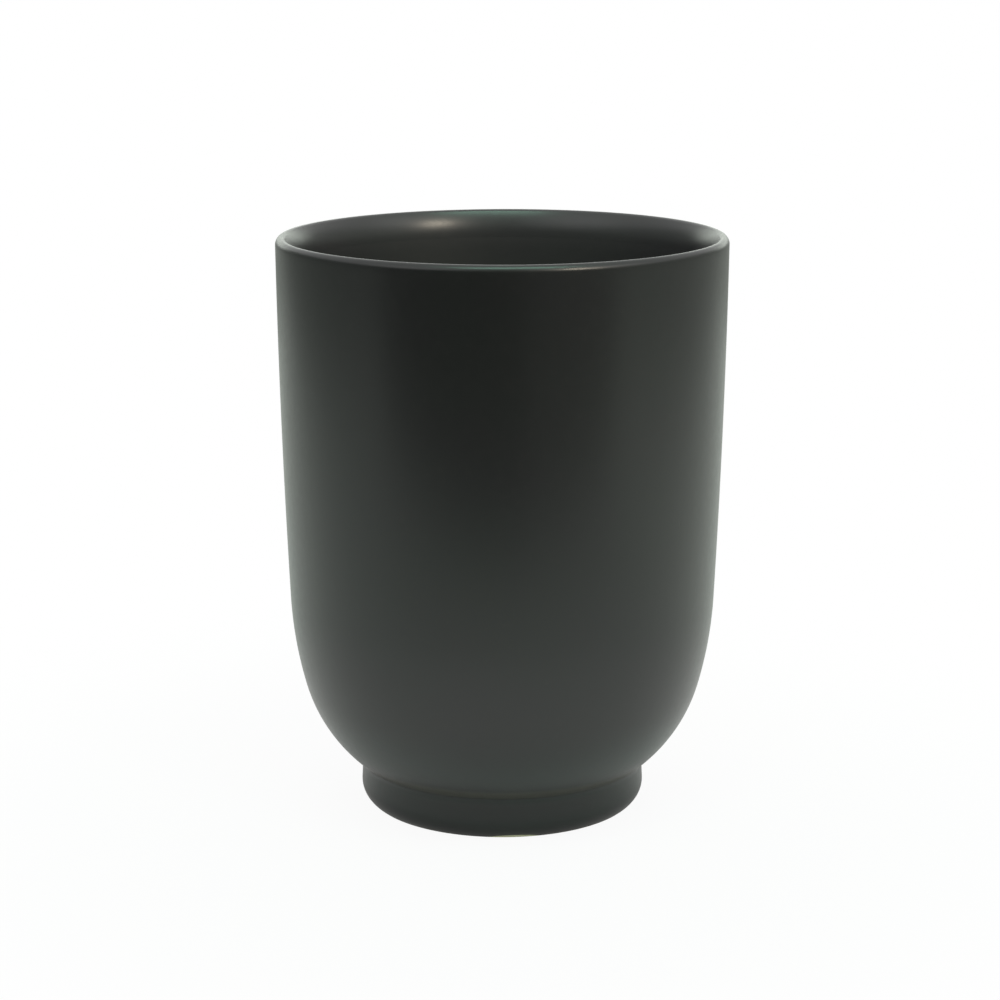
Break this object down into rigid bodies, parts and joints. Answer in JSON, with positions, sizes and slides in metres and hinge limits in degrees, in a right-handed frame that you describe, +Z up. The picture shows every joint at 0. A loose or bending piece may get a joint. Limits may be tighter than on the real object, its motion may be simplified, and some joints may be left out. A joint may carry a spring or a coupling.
{
  "type": "handleless cup",
  "caption": "Tall stoneware cup without a handle: straight wall, round base, turned foot and a satin black glaze.",
  "frame": {"origin": "centre of the foot, on the table", "axes": "+Z up along the cup's axis of turning; the cup is the same on all sides, so X and Y are free"},
  "size_m": [0.08, 0.08, 0.104],
  "materials": {
    "stoneware": "fired buff stoneware, bare only round the edge the cup stands on, matt with fine grog",
    "black_glaze": "satin black glaze, near matt, with fine specks",
    "liner_glaze": "the same satin black glaze, poured, a little smoother"
  },
  "bodies": {
    "root": {"bowl": "stoneware", "foot_ring": "stoneware", "outer_glaze": "black_glaze", "liner_glaze": "liner_glaze", "well_glaze": "black_glaze"}
  },
  "joints": []
}
